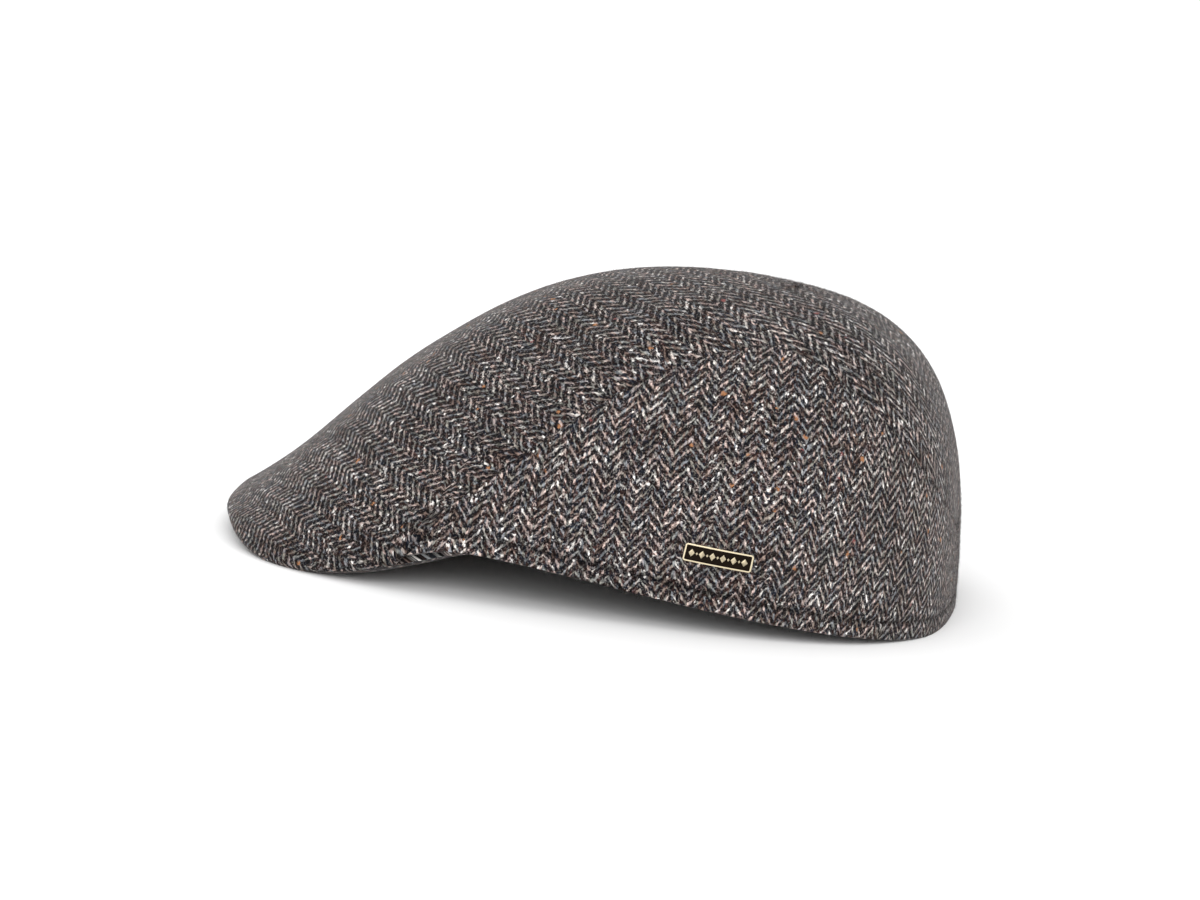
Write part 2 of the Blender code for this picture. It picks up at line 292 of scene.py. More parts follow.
def smooth_through(places, values, level_start):
    """A cubic curve through the values, level at its end, as a function of an array of places."""
    x = np.array(places, float)
    y = np.array(values, float)
    step = np.diff(x)
    slope = np.diff(y) / step
    count = len(x)
    matrix = np.identity(count)
    right = np.zeros(count)
    for i in range(1, count - 1):
        matrix[i, i - 1 : i + 2] = step[i], 2 * (step[i - 1] + step[i]), step[i - 1]
        right[i] = 3 * (step[i] * slope[i - 1] + step[i - 1] * slope[i])
    if not level_start:
        matrix[0, :2] = 2, 1
        right[0] = 3 * slope[0]
    tangent = np.linalg.solve(matrix, right)

    def value(place):
        i = np.clip(np.searchsorted(x, place, side="right") - 1, 0, count - 2)
        t = (place - x[i]) / step[i]
        start = (1 + 2 * t) * (1 - t) ** 2 * y[i] + t * (1 - t) ** 2 * step[i] * tangent[i]
        end = t * t * (3 - 2 * t) * y[i + 1] + t * t * (t - 1) * step[i] * tangent[i + 1]
        return start + end

    return value


def columns_of(names, rows, level_start):
    listed = list(zip(*rows))
    named = zip(names[1:], listed[1:])
    return {name: smooth_through(listed[0], column, level_start) for name, column in named}


section = columns_of(SECTION_COLUMNS, SECTIONS, level_start=True)
seam_share = columns_of(SEAM_COLUMNS, SEAM, level_start=False)["share"]


def ease(value, start, end):
    t = np.clip((value - start) / (end - start), 0, 1)
    return t * t * (3 - 2 * t)


def blend(a, b, t):
    return a + (b - a) * t


def evenly(start, end, steps):
    return np.linspace(start, end, steps + 1)


def opening_radius(bearing):
    angle = np.radians(bearing)
    squareness = blend(FRONT_SQUARENESS, BACK_SQUARENESS, (1 - np.cos(angle)) / 2)
    across = np.abs(np.sin(angle)) / (OPENING_WIDTH / 2)
    along = np.abs(np.cos(angle)) / (OPENING_LENGTH / 2)
    return (across**squareness + along**squareness) ** (-1 / squareness)


def toward(bearing):
    angle = np.radians(bearing)
    return np.stack([np.sin(angle), -np.cos(angle), np.zeros_like(angle)], axis=-1)


def edge_point(bearing):
    side = np.abs(bearing)
    radius = opening_radius(bearing) + PEAK_REACH * section["reach"](side)
    point = toward(bearing) * radius[..., None]
    point[..., 2] = -PEAK_DROP * section["drop"](side)
    return point


def wall_rise(bearing):
    return section["wall"](np.abs(bearing)) * (CROWN_HEIGHT - edge_point(bearing)[..., 2])


def skin_point(bearing, share):
    """The outer skin, for arrays of bearings and shares."""
    bearing, share = np.broadcast_arrays(np.asarray(bearing, float), np.asarray(share, float))
    side = np.abs(bearing)
    foot = edge_point(bearing)
    top = np.array([0, CROWN_TOP_BACK, CROWN_HEIGHT])
    way_in = (top - foot) * (1, 1, 0)
    lean = np.radians(section["lean"](side))[..., None]
    length = np.linalg.norm(way_in, axis=-1, keepdims=True)
    up_wall = way_in / length * np.sin(lean) + np.array([0, 0, 1]) * np.cos(lean)
    shoulder = foot + up_wall * wall_rise(bearing)[..., None]
    brow = top - way_in * section["crown"](side)[..., None]
    s = share[..., None]
    back = 1 - s
    return foot * back**3 + shoulder * (3 * s * back**2) + brow * (3 * s**2 * back) + top * s**3


def share_at_height(bearing, height):
    return height / (3 * wall_rise(bearing))


def skin_outward(bearing, share):
    """The outward direction of the skin, square to it along the edge and up the profile."""
    along = unit(skin_point(bearing + SMALL_TURN, share) - skin_point(bearing - SMALL_TURN, share))
    up = unit(skin_point(bearing, share + SMALL_SHARE) - skin_point(bearing, share - SMALL_SHARE))
    return unit(np.cross(along, up))


def unit(vectors):
    return vectors / np.maximum(np.linalg.norm(vectors, axis=-1, keepdims=True), 1e-12)


def soft_waves(points, depth, seed):
    """A soft unevenness of the cloth at each point, in metres."""
    shift = Vector((seed, 2 * seed, 3 * seed))
    flat = points.reshape(-1, 3)
    heights = [noise.noise(Vector(p) / WAVE_SIZE + shift) for p in flat]
    return (np.array(heights) * depth).reshape(points.shape[:-1])


def own_to_world():
    return Matrix.Translation(CAP_PLACE) @ Matrix.Rotation(math.radians(CAP_LEAN), 4, "X")


# Meshes


def linked(name, mesh):
    """A new object for the mesh, in the scene."""
    obj = bpy.data.objects.new(name, mesh)
    bpy.context.scene.collection.objects.link(obj)
    return obj


def sheet_object(name, points, pole=None):
    """An open sheet over a grid of points, columns by rows. With a pole it is a ring, fanned to the pole."""
    columns, rows = points.shape[:2]
    verts = points.reshape(-1, 3)
    first = np.arange(columns) * rows
    following = np.roll(first, -1)
    if pole is None:
        first, following = first[:-1], following[:-1]
    here = first[:, None] + np.arange(rows - 1)
    beside = following[:, None] + np.arange(rows - 1)
    faces = np.stack([here, beside, beside + 1, here + 1], axis=-1).reshape(-1, 4).tolist()
    if pole is not None:
        fan = np.stack([first + rows - 1, following + rows - 1, np.full(columns, len(verts))], axis=-1)
        faces += fan.tolist()
        verts = np.vstack([verts, pole])
    mesh = bpy.data.meshes.new(name)
    mesh.from_pydata(verts.tolist(), [], faces)
    mesh.shade_smooth()
    return linked(name, mesh)


def only(obj):
    bpy.ops.object.select_all(action="DESELECT")
    obj.select_set(True)
    bpy.context.view_layer.objects.active = obj


def outward_of(points, closed):
    """The outward direction at each point of a grid. A closed grid ends at the top of the crown."""
    if closed:
        around = np.roll(points, -1, axis=0) - np.roll(points, 1, axis=0)
    else:
        around = np.gradient(points, axis=0)
    normal = unit(np.cross(around, np.gradient(points, axis=1)))
    away = points - np.array([0, CROWN_TOP_BACK, CROWN_HEIGHT / 3])
    normal = normal * np.sign((normal * away).sum())
    if closed:
        normal[:, -1] = 0, 0, 1
    return normal


def tangent(direction, outward):
    """The direction laid onto the surface."""
    direction = np.broadcast_to(direction, outward.shape)
    return unit(direction - outward * (direction * outward).sum(axis=-1, keepdims=True))


def from_edge(points, last=False):
    """Each point's distance over the cloth from its column's first or last point."""
    if last:
        return from_edge(points[:, ::-1])[:, ::-1]
    steps = np.linalg.norm(np.diff(points, axis=1), axis=-1)
    return np.concatenate([np.zeros((len(points), 1)), np.cumsum(steps, axis=1)], axis=1)


def pressed_line(distance, width, depth):
    """A soft line, 0 away from it and as deep as wanted on it."""
    return depth * np.exp(-((distance / width) ** 2))


def spread_weights(count, picked, closed):
    """Shares that carry values at the picked places over to every place between them."""
    places = np.append(picked, count) if closed else picked
    weights = np.stack([np.interp(range(count), places, row) for row in np.identity(len(places))], axis=1)
    if closed:
        weights[:, 0] += weights[:, -1]
        weights = weights[:, :-1]
    return weights


def lay_cloth(points, outward, along, width_left, length_left, fine_rows, closed):
    """Where each point of a grid lies in the flat cloth, across and along its columns, in metres.

    From point to point these grow by the step measured across and along the wanted direction, as nearly as a
    rounded shape lets flat cloth follow it.
    """
    columns = np.unique(np.linspace(0, len(points) - 1, LAY_COLUMNS).round().astype(int))
    even_rows = np.linspace(fine_rows, points.shape[1] - 1, LAY_ROWS).round().astype(int)
    rows = np.concatenate([np.arange(0, fine_rows, 2), even_rows])
    coarse = np.ix_(columns, rows)
    place = points[coarse]
    ahead = along[coarse]
    aside = np.cross(ahead, outward[coarse])
    number = np.arange(place.shape[0] * place.shape[1]).reshape(place.shape[:2])
    following = np.roll(number, -1, axis=0) if closed else number[1:]
    here = number if closed else number[:-1]
    pairs = (
        (here, following),
        (number[:, :-1], number[:, 1:]),
        (here[:, :-1], following[:, 1:]),
        (here[:, 1:], following[:, :-1]),
    )
    start, end = (np.concatenate([pair[i].ravel() for pair in pairs]) for i in (0, 1))
    aside = aside / width_left[coarse][..., None]
    ahead = ahead / length_left[coarse][..., None]
    place, ahead, aside = (grid.reshape(-1, 3) for grid in (place, ahead, aside))
    step = place[end] - place[start]
    wanted = [(step * (axis[start] + axis[end]) / 2).sum(axis=1) for axis in (aside, ahead)]
    weight = 1 / np.maximum(np.linalg.norm(step, axis=1), SHORTEST_STEP)
    matrix = np.zeros((len(place), len(place)))
    right = np.zeros((len(place), 2))
    for one, other in ((start, end), (end, start)):
        np.add.at(matrix, (one, one), weight)
        np.add.at(matrix, (one, other), -weight)
    for i, value in enumerate(wanted):
        np.add.at(right[:, i], end, weight * value)
        np.add.at(right[:, i], start, -weight * value)
    matrix[0, 0] += weight.sum()
    laid = np.linalg.solve(matrix, right).reshape(len(columns), len(rows), 2)
    over_columns = spread_weights(len(points), columns, closed)
    over_rows = spread_weights(points.shape[1], rows, False)
    return np.einsum("ac,crk,br->abk", over_columns, laid, over_rows)


def cloth_sheet(name, points, along, shade, left=(1.0, 1.0), fine_rows=0, turned_rows=0, closed=False):
    """An open sheet, with what is needed to map the weave onto it once it has its thickness.

    Where steam has shrunk the cloth into shape, left says what share of its width and length is left.
    """
    outward = outward_of(points, closed)
    direction = along(points, outward)
    for row in reversed(range(turned_rows)):
        direction[:, row] = tangent(direction[:, row + 1], outward[:, row])
    width_left, length_left = (np.broadcast_to(share, points.shape[:2]) for share in left)
    laid = lay_cloth(points, outward, direction, width_left, length_left, fine_rows, closed)
    sheet = sheet_object(name, points[:, :-1], points[0, -1]) if closed else sheet_object(name, points)
    pattern = {
        "place": points.reshape(-1, 3),
        "laid": laid.reshape(-1, 2),
        "along": direction.reshape(-1, 3),
        "outward": outward.reshape(-1, 3),
        "shade": shade.ravel(),
    }
    return sheet, pattern


def map_weave(obj, pattern):
    """Carries the flat cloth's coordinates over to the thick piece, and on round its edges."""
    tree = KDTree(len(pattern["place"]))
    for i, place in enumerate(pattern["place"]):
        tree.insert(place, i)
    tree.balance()
    mesh = obj.data
    nearest = np.array([tree.find(vert.co)[1] for vert in mesh.vertices])
    place = np.empty(len(mesh.vertices) * 3)
    mesh.vertices.foreach_get("co", place)
    offset = place.reshape(-1, 3) - pattern["place"][nearest]
    ahead = pattern["along"][nearest]
    outward = pattern["outward"][nearest]
    laid = pattern["laid"][nearest].copy()
    laid[:, 0] += (offset * np.cross(ahead, outward)).sum(axis=1)
    laid[:, 1] += (offset * (ahead + outward)).sum(axis=1)
    corner = np.empty(len(mesh.loops), int)
    mesh.loops.foreach_get("vertex_index", corner)
    layer = mesh.uv_layers.new(name="cloth")
    layer.uv.foreach_set("vector", laid[corner].ravel().astype(np.float32))
    # Each point's painted shade, which darkens the cloth's colour in the material
    shade = mesh.attributes.new("shade", "FLOAT", "POINT")
    shade.data.foreach_set("value", pattern["shade"][nearest].astype(np.float32))


def thicken(obj, thickness, edge, row_shares=(), rows=1, other_share=1.0):
    """Gives the sheet its thickness inward, rounds its edges and fixes the result into its mesh.

    Where its first rows are thicker or thinner than the others, row_shares says by how much.
    """
    group = obj.vertex_groups.new(name="folds")
    count = len(obj.data.vertices)
    group.add(range(count), other_share, "REPLACE")
    for row, share in enumerate(row_shares):
        group.add(range(row, count, rows), float(share), "REPLACE")
    wall = obj.modifiers.new("wall", "SOLIDIFY")
    wall.thickness = thickness
    wall.offset = -1
    wall.vertex_group = "folds"
    if edge:
        soft = obj.modifiers.new("soft_edges", "BEVEL")
        soft.width = edge
        soft.segments = ROUNDING_STEPS
        soft.limit_method = "ANGLE"
        soft.angle_limit = math.radians(ROUNDING_ANGLE)
    only(obj)
    for modifier in [m.name for m in obj.modifiers]:
        bpy.ops.object.modifier_apply(modifier=modifier)
    obj.vertex_groups.clear()


def add_nap(obj, pattern, count, seed):
    """Short loose fibres that stand a little off the cloth, as thin curved slivers joined to the piece."""
    random = np.random.default_rng(seed)
    pick = random.integers(0, len(pattern["place"]), count)
    outward = pattern["outward"][pick]
    ahead = pattern["along"][pick]
    aside = np.cross(ahead, outward)
    jitter = random.uniform(-1, 1, (count, 2)) * NAP_LENGTH
    root = pattern["place"][pick] + ahead * jitter[:, :1] + aside * jitter[:, 1:] - outward * NAP_WIDTH
    turn = random.uniform(0, 2 * math.pi, (count, 1))
    lying = ahead * np.cos(turn) + aside * np.sin(turn)
    width = np.cross(lying, outward) * NAP_WIDTH / 2
    length = random.uniform(NAP_SHORTEST, 1.0, (count, 1)) * NAP_LENGTH
    lift = random.uniform(*NAP_LIFT, (count, 1)) * length
    bend = random.uniform(-NAP_BEND, NAP_BEND, (count, 1)) * length
    middle = root + lying * length * 0.5 + outward * lift * 0.75 + np.cross(lying, outward) * bend
    tip = root + lying * length + outward * lift
    verts = np.stack([root - width, root + width, middle + width * 0.8, middle - width * 0.8, tip], axis=1)
    first = np.arange(count)[:, None] * 5
    faces = (first + [0, 1, 2, 3]).tolist() + (first + [3, 2, 4]).tolist()
    mesh = bpy.data.meshes.new("nap")
    mesh.from_pydata(verts.reshape(-1, 3).tolist(), [], faces)
    nap = linked("nap", mesh)
    only(obj)
    nap.select_set(True)
    bpy.ops.object.join()


def press_flat(obj):
    """Flattens what would reach below the surface that the cap rests on."""
    world = own_to_world()
    back = world.inverted()
    for vert in obj.data.vertices:
        place = world @ vert.co
        if place.z < 0:
            place.z = 0
            vert.co = back @ place


def place_piece(obj, material, node):
    """Puts a piece made in the cap's own frame where the cap lies, gives it its finish and hides the solid it
    replaces.
    """
    obj.data.transform(own_to_world())
    obj.data.update()
    obj.data.materials.clear()
    obj.data.materials.append(material)
    obj.data.shade_smooth()
    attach(obj, "root")
    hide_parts(node)


# Materials


def adds(operation, turned=False):
    """An operator that adds a Math node, with the signal as its second value where turned."""
    if turned:
        return lambda signal, other: signal.finish.math(operation, other, signal)
    return lambda signal, other: signal.finish.math(operation, signal, other)


class Signal:
    """A socket that can stand in a sum. Each sum adds a Math node."""

    def __init__(self, finish, socket):
        self.finish = finish
        self.socket = socket

    __add__ = __radd__ = adds("ADD")
    __sub__ = adds("SUBTRACT")
    __rsub__ = adds("SUBTRACT", turned=True)
    __mul__ = __rmul__ = adds("MULTIPLY")
    __truediv__ = adds("DIVIDE")
    __rtruediv__ = adds("DIVIDE", turned=True)
    __mod__ = adds("FLOORED_MODULO")
    __rmod__ = adds("FLOORED_MODULO", turned=True)

    def __abs__(self):
        return self.finish.math("ABSOLUTE", self)


class Finish:
    """A material in the making."""

    def __init__(self, name):
        self.material = bpy.data.materials.new(name)
        self.material.use_nodes = True
        self.tree = self.material.node_tree
        self.shader = self.tree.nodes["Principled BSDF"]

    def feed(self, node, values):
        """Gives each named socket of the node a value, or a link where the value is a signal."""
        for name, value in values.items():
            if isinstance(value, Signal):
                self.tree.links.new(value.socket, node.inputs[name])
            else:
                node.inputs[name].default_value = value

    def node(self, kind, settings, inputs, output=0):
        """Adds a node, its settings first, then a value or a link for each socket, and gives its output."""
        made = self.tree.nodes.new(kind)
        for key, value in settings.items():
            if key == "stops":
                set_stops(made.color_ramp.elements, value)
            else:
                setattr(made, key, value)
        self.feed(made, inputs)
        return Signal(self, made.outputs[output])

    def output_of(self, signal, output):
        """Another output of the node that the signal comes from."""
        return Signal(self, signal.socket.node.outputs[output])

    def math(self, operation, *values):
        return self.node("ShaderNodeMath", {"operation": operation}, dict(enumerate(values)))

    def floor(self, value):
        return self.math("FLOOR", value)

    def between(self, value, low, high):
        """0 where the value is at low, 1 at high, smooth between."""
        settings = {"interpolation_type": "SMOOTHSTEP"}
        return self.node("ShaderNodeMapRange", settings, {"Value": value, "From Min": low, "From Max": high})

    def yarn_colour(self, yarns, factor):
        """A colour for each number from 0 to 1, through the yarns of a table."""
        return self.node("ShaderNodeValToRGB", {"stops": yarns}, {0: factor})

    def colour_mix(self, factor, one, other):
        return self.node("ShaderNodeMix", {"data_type": "RGBA"}, {0: factor, 6: one, 7: other}, output=2)

    def dim(self, colour, amount):
        """The colour times a number."""
        return self.node("ShaderNodeVectorMath", {"operation": "SCALE"}, {0: colour, "Scale": amount})

    def pair(self, x, y):
        return self.node("ShaderNodeCombineXYZ", {}, {0: x, 1: y})

    def part(self, vector, axis):
        return self.node("ShaderNodeSeparateXYZ", {}, {0: vector}, output=axis)

    def speckle(self, vector, scale, detail=2.0, rough=0.5):
        settings = {"noise_dimensions": "2D"}
        inputs = {"Vector": vector, "Scale": scale, "Detail": detail, "Roughness": rough}
        return self.node("ShaderNodeTexNoise", settings, inputs)

    def chance(self, x, y):
        """A random number for each pair of whole numbers."""
        return self.node("ShaderNodeTexWhiteNoise", {"noise_dimensions": "2D"}, {"Vector": self.pair(x, y)})


def set_stops(elements, yarns):
    for place, *_ in yarns[1:-1]:
        elements.new(place)
    for element, (_, *colour) in zip(elements, yarns):
        element.color = srgb(*colour)


def srgb(*screen):
    """Linear colour, with its alpha, of a screen colour given from 0 to 255."""
    values = [v / 255 for v in screen]
    linear = [v / 12.92 if v <= 0.04045 else ((v + 0.055) / 1.055) ** 2.4 for v in values]
    return (*linear, 1)


def with_neps(f, colour, across, along, fibre):
    """The colour with neps strewn over it, each a ragged spot in a cell of its own."""
    for nep_colour, density, size, share in NEPS:
        spacing = NEP_CELL / density
        where = f.pair(across / spacing, along / spacing)
        cells = f.node("ShaderNodeTexVoronoi", {"voronoi_dimensions": "2D"}, {"Vector": where, "Scale": 1.0})
        draw = f.node("ShaderNodeSeparateColor", {}, {0: f.output_of(cells, "Color")})
        reach = f.output_of(draw, 1) * size + size * 0.35
        spot = f.between(f.output_of(cells, "Distance") + (fibre - 0.5) * 0.7, reach, reach * 0.4)
        colour = f.colour_mix(spot * f.math("LESS_THAN", draw, share), colour, srgb(*nep_colour))
    return colour


def tweed(name, cloth, cut_from):
    """Herringbone tweed: slanting light strokes on a dark ground, drawn in the flat cloth's metres."""
    f = Finish(name)
    place = f.node("ShaderNodeUVMap", {"uv_map": "cloth"}, {})
    across = f.part(place, 0) + cut_from
    along = f.part(place, 1) + cut_from
    there = f.pair(across, along)

    # Where the point lies among the yarns: ends run along the cloth, picks across it
    turned = f.pair(along, across)
    drift = f.speckle(there, 40.0, 1.0) - 0.5
    other_drift = f.speckle(turned, 55.0, 1.0) - 0.5
    tremble = f.speckle(there, 420.0, 2.0, 0.6) - 0.5
    other_tremble = f.speckle(turned, 500.0, 2.0, 0.6) - 0.5
    end = (across + drift * cloth.drift + tremble * cloth.tremble) / (cloth.column_width / cloth.column_yarns)
    pick_width = cloth.stroke_rise / PICKS_IN_STROKE
    pick = (along + other_drift * cloth.drift + other_tremble * cloth.tremble) / pick_width
    zigzag = abs(end % (2 * cloth.column_yarns) - cloth.column_yarns)
    end_number = f.floor(end)
    slip = f.chance(end_number, f.floor(pick / PICKS_IN_SLIP)) - 0.5
    stroke = (pick + zigzag) / PICKS_IN_STROKE + slip * SLIP
    stroke_number = f.floor(stroke)

    # Each yarn's showing length has its own tone, and fine fibres streak it lengthwise
    tone = f.chance(end_number, stroke_number)
    width = f.chance(stroke_number, end_number + 0.5)
    streak = f.speckle(f.pair(end * 0.9, stroke * 7.0), 1.0, 3.0, 0.7)
    fibre = f.speckle(there, 1500.0, 3.0, 0.8)
    ridge = abs((stroke % 1.0) * 2 - 1) + (streak - 0.5) * 0.5
    edge = 0.10 + width * 0.34
    raised = f.between(ridge, edge + 0.14, edge - 0.14)

    # Its colour changes slowly along the warp and the weft, and more from yarn to yarn
    warp_tone = f.speckle(f.pair(end_number * 7.3, along * 90), 1.0, 2.0)
    weft_tone = f.speckle(f.pair(across * 90, stroke_number * 5.1), 1.0, 2.0)
    light = f.yarn_colour(LIGHT_YARNS, tone * 0.55 + weft_tone * 0.9 - 0.22)
    dark = f.yarn_colour(DARK_YARNS, f.chance(f.floor(pick), end_number) * 0.6 + warp_tone * 1.1 - 0.35)
    worn = f.speckle(there, 30.0, 2.0) * 0.4 + 0.8
    bead = f.chance(end_number, f.floor(pick))
    lift = (streak * 1.1 + 0.45) * (fibre * 2.8 - 0.4) * (tone * 0.5 + 0.75) * (bead * 1.2 + 0.4) * worn
    lift = lift * cloth.brightness

    # Light fibres that stray over the dark ground
    fleck = f.between(f.speckle(turned, 1300.0, 2.0, 0.7), 0.47, 0.75) * (1 - raised) * 0.6
    # Painted shade from the attribute darkens the colour: each piece, its seams and its hem's groove
    shade = f.node("ShaderNodeAttribute", {"attribute_name": "shade"}, {}, output=2)
    colour = f.dim(f.colour_mix(fleck + raised, dark, light), lift * shade)

    ragged_across = across + tremble * NEP_RAGGED
    ragged_along = along + other_tremble * NEP_RAGGED
    height = raised * 0.7 + streak * 0.5 + fibre * 0.4
    relief = {"Height": height, "Strength": cloth.relief, "Distance": cloth.stroke_rise / 8}
    surface = {
        "Base Color": with_neps(f, colour, ragged_across, ragged_along, fibre),
        "Roughness": 0.95,
        "Specular IOR Level": 0.08,
        "Sheen Weight": cloth.sheen,
        "Sheen Roughness": 0.25,
        "Sheen Tint": (0.72, 0.70, 0.70, 1),
        "Normal": f.node("ShaderNodeBump", {}, relief),
    }
    f.feed(f.shader, surface)
    return f.material


def brass(name, badge):
    """Antique brass: bright on what stands up, dark where polish doesn't reach."""
    f = Finish(name)
    relief = f.node("ShaderNodeAttribute", {"attribute_name": "relief"}, {}, output=2)
    where = f.node("ShaderNodeTexCoord", {}, {}, output=3)
    spots = f.node("ShaderNodeTexNoise", {}, {"Vector": where, "Scale": 900.0, "Detail": 4.0})
    rubbed = f.between(relief + (spots - 0.5) * 0.35, 0.35, 0.75)
    colour = f.colour_mix(rubbed, (*badge.recess_colour, 1), (*badge.brass_colour, 1))
    roughness = 0.62 - rubbed * 0.26 + (spots - 0.5) * 0.2
    bump = f.node("ShaderNodeBump", {}, {"Height": spots, "Strength": 0.25, "Distance": 0.0001})
    f.feed(f.shader, {"Base Color": colour, "Roughness": roughness, "Metallic": 1.0, "Normal": bump})
    return f.material


def plain(name, colour, roughness):
    f = Finish(name)
    f.feed(f.shader, {"Base Color": (*colour, 1), "Roughness": roughness})
    return f.material


# What a user would change


def length_of(name, description, default, low=0.0, high=5.0):
    """A length in metres that a user can set."""
    limits = {"min": low, "max": high, "precision": 5}
    kind = {"unit": "LENGTH", "subtype": "DISTANCE"}
    return FloatProperty(name=name, description=description, default=default, **limits, **kind)


def share_of(name, description, default):
    """A share from none to all that a user can set."""
    limits = {"min": 0.0, "max": 1.0}
    return FloatProperty(name=name, description=description, default=default, subtype="FACTOR", **limits)


def colour_of(name, description, default):
    """A colour that a user can set."""
    return FloatVectorProperty(name=name, description=description, default=default, subtype="COLOR")


class ClothSettings(bpy.types.PropertyGroup):
    """The tweed"""

    column_width: length_of("Column width", "Width of one herringbone column", 0.0053, 0.002, 0.03)
    column_yarns: IntProperty(
        name="Yarns in a column", description="Warp yarns across one column", default=7, min=3, max=16
    )
    stroke_rise: length_of("Stroke repeat", "From one light stroke to the next", 0.00353, 0.001, 0.02)
    drift: length_of("Drift", "How far the yarns wander from straight", 0.0012, high=0.01)
    tremble: length_of("Tremble", "How far the yarns' edges are ragged", 0.0009, high=0.005)
    brightness: FloatProperty(
        name="Brightness", description="Lightness of all the yarns together", default=0.84, min=0.2, max=3.0
    )
    relief: share_of("Relief", "Strength of the weave's relief", 0.7)
    sheen: share_of("Nap", "Light caught by the wool's nap", 0.28)


class BadgeSettings(bpy.types.PropertyGroup):
    """The badge"""

    length: length_of("Length", "Length of the plate", 0.0225)
    height: length_of("Height", "Height of the plate", 0.0064)
    thickness: length_of("Thickness", "Thickness of the plate", 0.0011)
    rise: length_of("Rise", "Height of the plate's middle above the rim", 0.0192)
    bearing: FloatProperty(name="Bearing", description="Degrees from the front to the plate", default=103.5)
    slope: FloatProperty(name="Slope", description="Degrees that its front end hangs lower", default=-2.5)
    brass_colour: colour_of("Brass", "Colour where it is rubbed bright", (0.72, 0.62, 0.43))
    recess_colour: colour_of("Recess", "Colour where it is dark with age", (0.014, 0.010, 0.007))


class StageSettings(bpy.types.PropertyGroup):
    """The floor, the light and the camera"""

    floor_colour: colour_of("Floor", "Colour of the floor", (0.95, 0.95, 0.95))
    sky: FloatProperty(name="Sky", description="Strength of the light from all round", default=1.06, min=0.0)
    key: FloatProperty(
        name="Key light", description="Power of the main lamp", default=13.0, min=0.0, unit="POWER"
    )
    distance: length_of("Camera distance", "From the camera to the middle of the opening", 1.6)


# The pieces


def seam_line():
    """Bearing and share of the left side panel's edge: up its front corner, then back over the cap."""
    t = evenly(0, 1, TOP_COLUMNS_CORNER)
    corner_top = float(seam_share(CORNER_TOP_BEARING))
    over = evenly(CORNER_TOP_BEARING, 180, TOP_COLUMNS_SEAM)[1:]
    bearings = np.concatenate([blend(CORNER_BEARING, CORNER_TOP_BEARING, t), over])
    shares = np.concatenate([corner_top * t, seam_share(over)])
    return bearings, shares


def turned_edge(points, over_peak):
    """The grid with its edge turned in: tightly along the seams, wide over the edge of the peak's board."""
    edge = points[:, :1]
    outward = outward_of(points, True)[:, :1]
    inward = np.cross(outward, np.roll(edge, -1, axis=0) - np.roll(edge, 1, axis=0))
    inward = unit(inward * np.sign((inward * (points[:, 1:2] - edge)).sum()))
    over_peak = over_peak[:, None, None]
    radius = blend(SEAM_ROLL, PEAK_ROLL, over_peak)
    turn = np.radians(blend(SEAM_TURN, PEAK_TURN, over_peak)) * evenly(1, 0, TURN_ROWS)[None, :, None]
    rise, level = inward[..., 2:], outward[..., 2:]
    peak_depth = CLOTH * level + PEAK_THICKNESS + PEAK_TURN_PLAY
    start = blend(SEAM_ROLL, (PEAK_ROLL * (1 + level) - peak_depth) / np.maximum(rise, LEAST_RISE), over_peak)
    middle = edge + inward * start - outward * radius
    arc = middle + radius * (outward * np.cos(turn) - inward * np.sin(turn))
    return np.concatenate([arc, points[:, 1:]], axis=1)


def top_panel_points():
    """The top panel's points, from its turned edge in to the top of the crown, all the way round."""
    bearings, starts = seam_line()
    front = evenly(0, CORNER_BEARING, TOP_COLUMNS_FRONT)[:-1]
    bearings = np.concatenate([front, bearings])
    starts = np.concatenate([np.zeros(len(front)), starts])
    fan = np.linspace(0, 180, len(bearings))
    t = evenly(0, 1, TOP_ROWS)
    bearing = blend(bearings[:, None], fan[:, None], t[None] ** 2)
    share = blend(starts[:, None], 1.0, t[None])
    left = skin_point(bearing, share)
    over_peak = 1 - ease(bearings, CORNER_BEARING - PEAK_TURN_FADE, CORNER_BEARING)
    over_peak = np.concatenate([over_peak, over_peak[1:-1][::-1]])
    return turned_edge(np.concatenate([left, left[1:-1][::-1] * (-1, 1, 1)]), over_peak)


def bias_direction(points, outward):
    """The top panel's columns: slanting from the middle plane, and turned on down the sides and behind."""
    backward = tangent((0, 1, 0), outward)
    leftward = np.cross(backward, outward)
    aside = np.clip(points[..., :1] / (OPENING_WIDTH / 2), -1, 1)
    behind = ease(points[..., 1:2], *BIAS_BACK)
    angle = np.radians(BIAS - BIAS_TURN * np.sign(aside) * np.abs(aside) ** 1.5 - BIAS_TURN_BACK * behind)
    return backward * np.cos(angle) + leftward * np.sin(angle)


def upward_direction(points, outward):
    """The side panels' columns: nearly upright, leaning forward in the middle and back behind."""
    upward = tangent((0, 0, 1), outward)
    backward = tangent((0, 1, 0), outward)
    middle = pressed_line(points[..., 1:2] - SIDE_LEAN_MIDDLE, SIDE_LEAN_WIDTH, SIDE_LEAN)
    angle = np.radians(ease(points[..., 1:2], *SIDE_LEAN_BACK) * SIDE_LEAN - middle)
    return unit(upward * np.cos(angle) + backward * np.sin(angle))


def backward_direction(points, outward):
    return tangent((0, 1, 0), outward)


